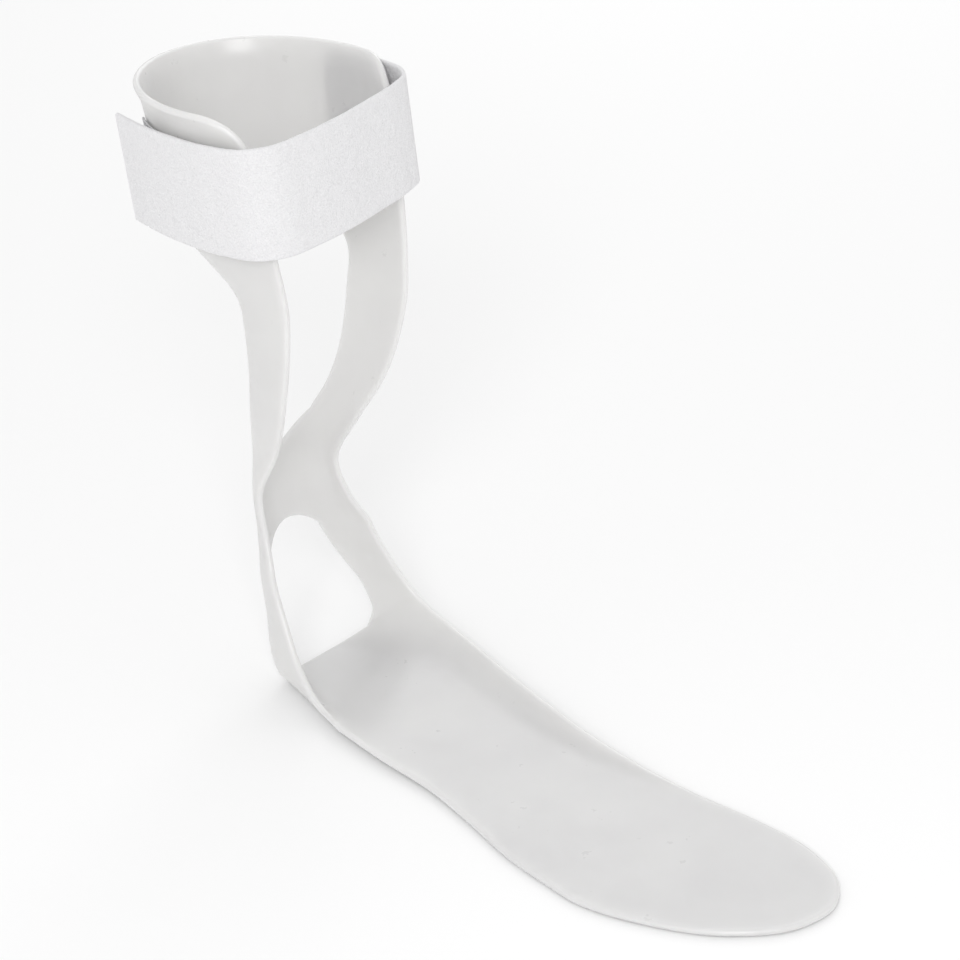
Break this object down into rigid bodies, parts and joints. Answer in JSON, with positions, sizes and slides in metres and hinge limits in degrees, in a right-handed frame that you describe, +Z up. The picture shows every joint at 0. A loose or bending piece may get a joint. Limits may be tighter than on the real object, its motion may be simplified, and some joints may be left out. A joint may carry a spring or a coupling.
{
  "type": "ankle foot orthosis",
  "caption": "Posterior leaf ankle foot orthosis for a right foot: full foot plate, open heel, slim struts, calf band and hook-and-loop calf strap.",
  "frame": {"origin": "on the ground under the foot plate, 2 mm in front of the middle of its rear edge", "axes": "+X forward to the toe, +Y to the medial side, +Z up the calf"},
  "size_m": [0.3185, 0.1106, 0.241],
  "materials": {
    "polypropylene": "satin, milky and slightly translucent",
    "loop_strap": "white brushed loop webbing",
    "hook_tape": "white hook tape"
  },
  "bodies": {
    "foot": {"forefoot_plate": "polypropylene", "heel_plate": "polypropylene", "heel_strut_lateral": "polypropylene", "heel_strut_medial": "polypropylene"},
    "calf": {"neck_branch_lateral": "polypropylene", "neck_branch_medial": "polypropylene", "achilles_neck": "polypropylene", "upright_lateral": "polypropylene", "upright_medial": "polypropylene", "calf_band": "polypropylene", "hook_patch_lateral": "hook_tape", "hook_patch_medial": "hook_tape", "strap_anchor": "loop_strap"},
    "strap_front": {"strap_front": "loop_strap"},
    "strap_tab": {"strap_tab": "loop_strap"}
  },
  "joints": [
    {"name": "ankle_flex", "type": "hinge", "parent": "foot", "child": "calf", "pos_m": [-0.015, 0, 0.07], "axis": [0, 1, 0], "range_deg": [-8, 10], "stiffness_Nm_per_rad": 20},
    {"name": "strap_open", "type": "hinge", "parent": "calf", "child": "strap_front", "pos_m": [0.0229, 0.04349, 0.19354], "axis": [0, -0.0698, 0.9976], "range_deg": [0, 100]},
    {"name": "strap_peel", "type": "hinge", "parent": "strap_front", "child": "strap_tab", "pos_m": [0.0218, -0.03382, 0.18813], "axis": [0, -0.0698, 0.9976], "range_deg": [0, 70]}
  ]
}
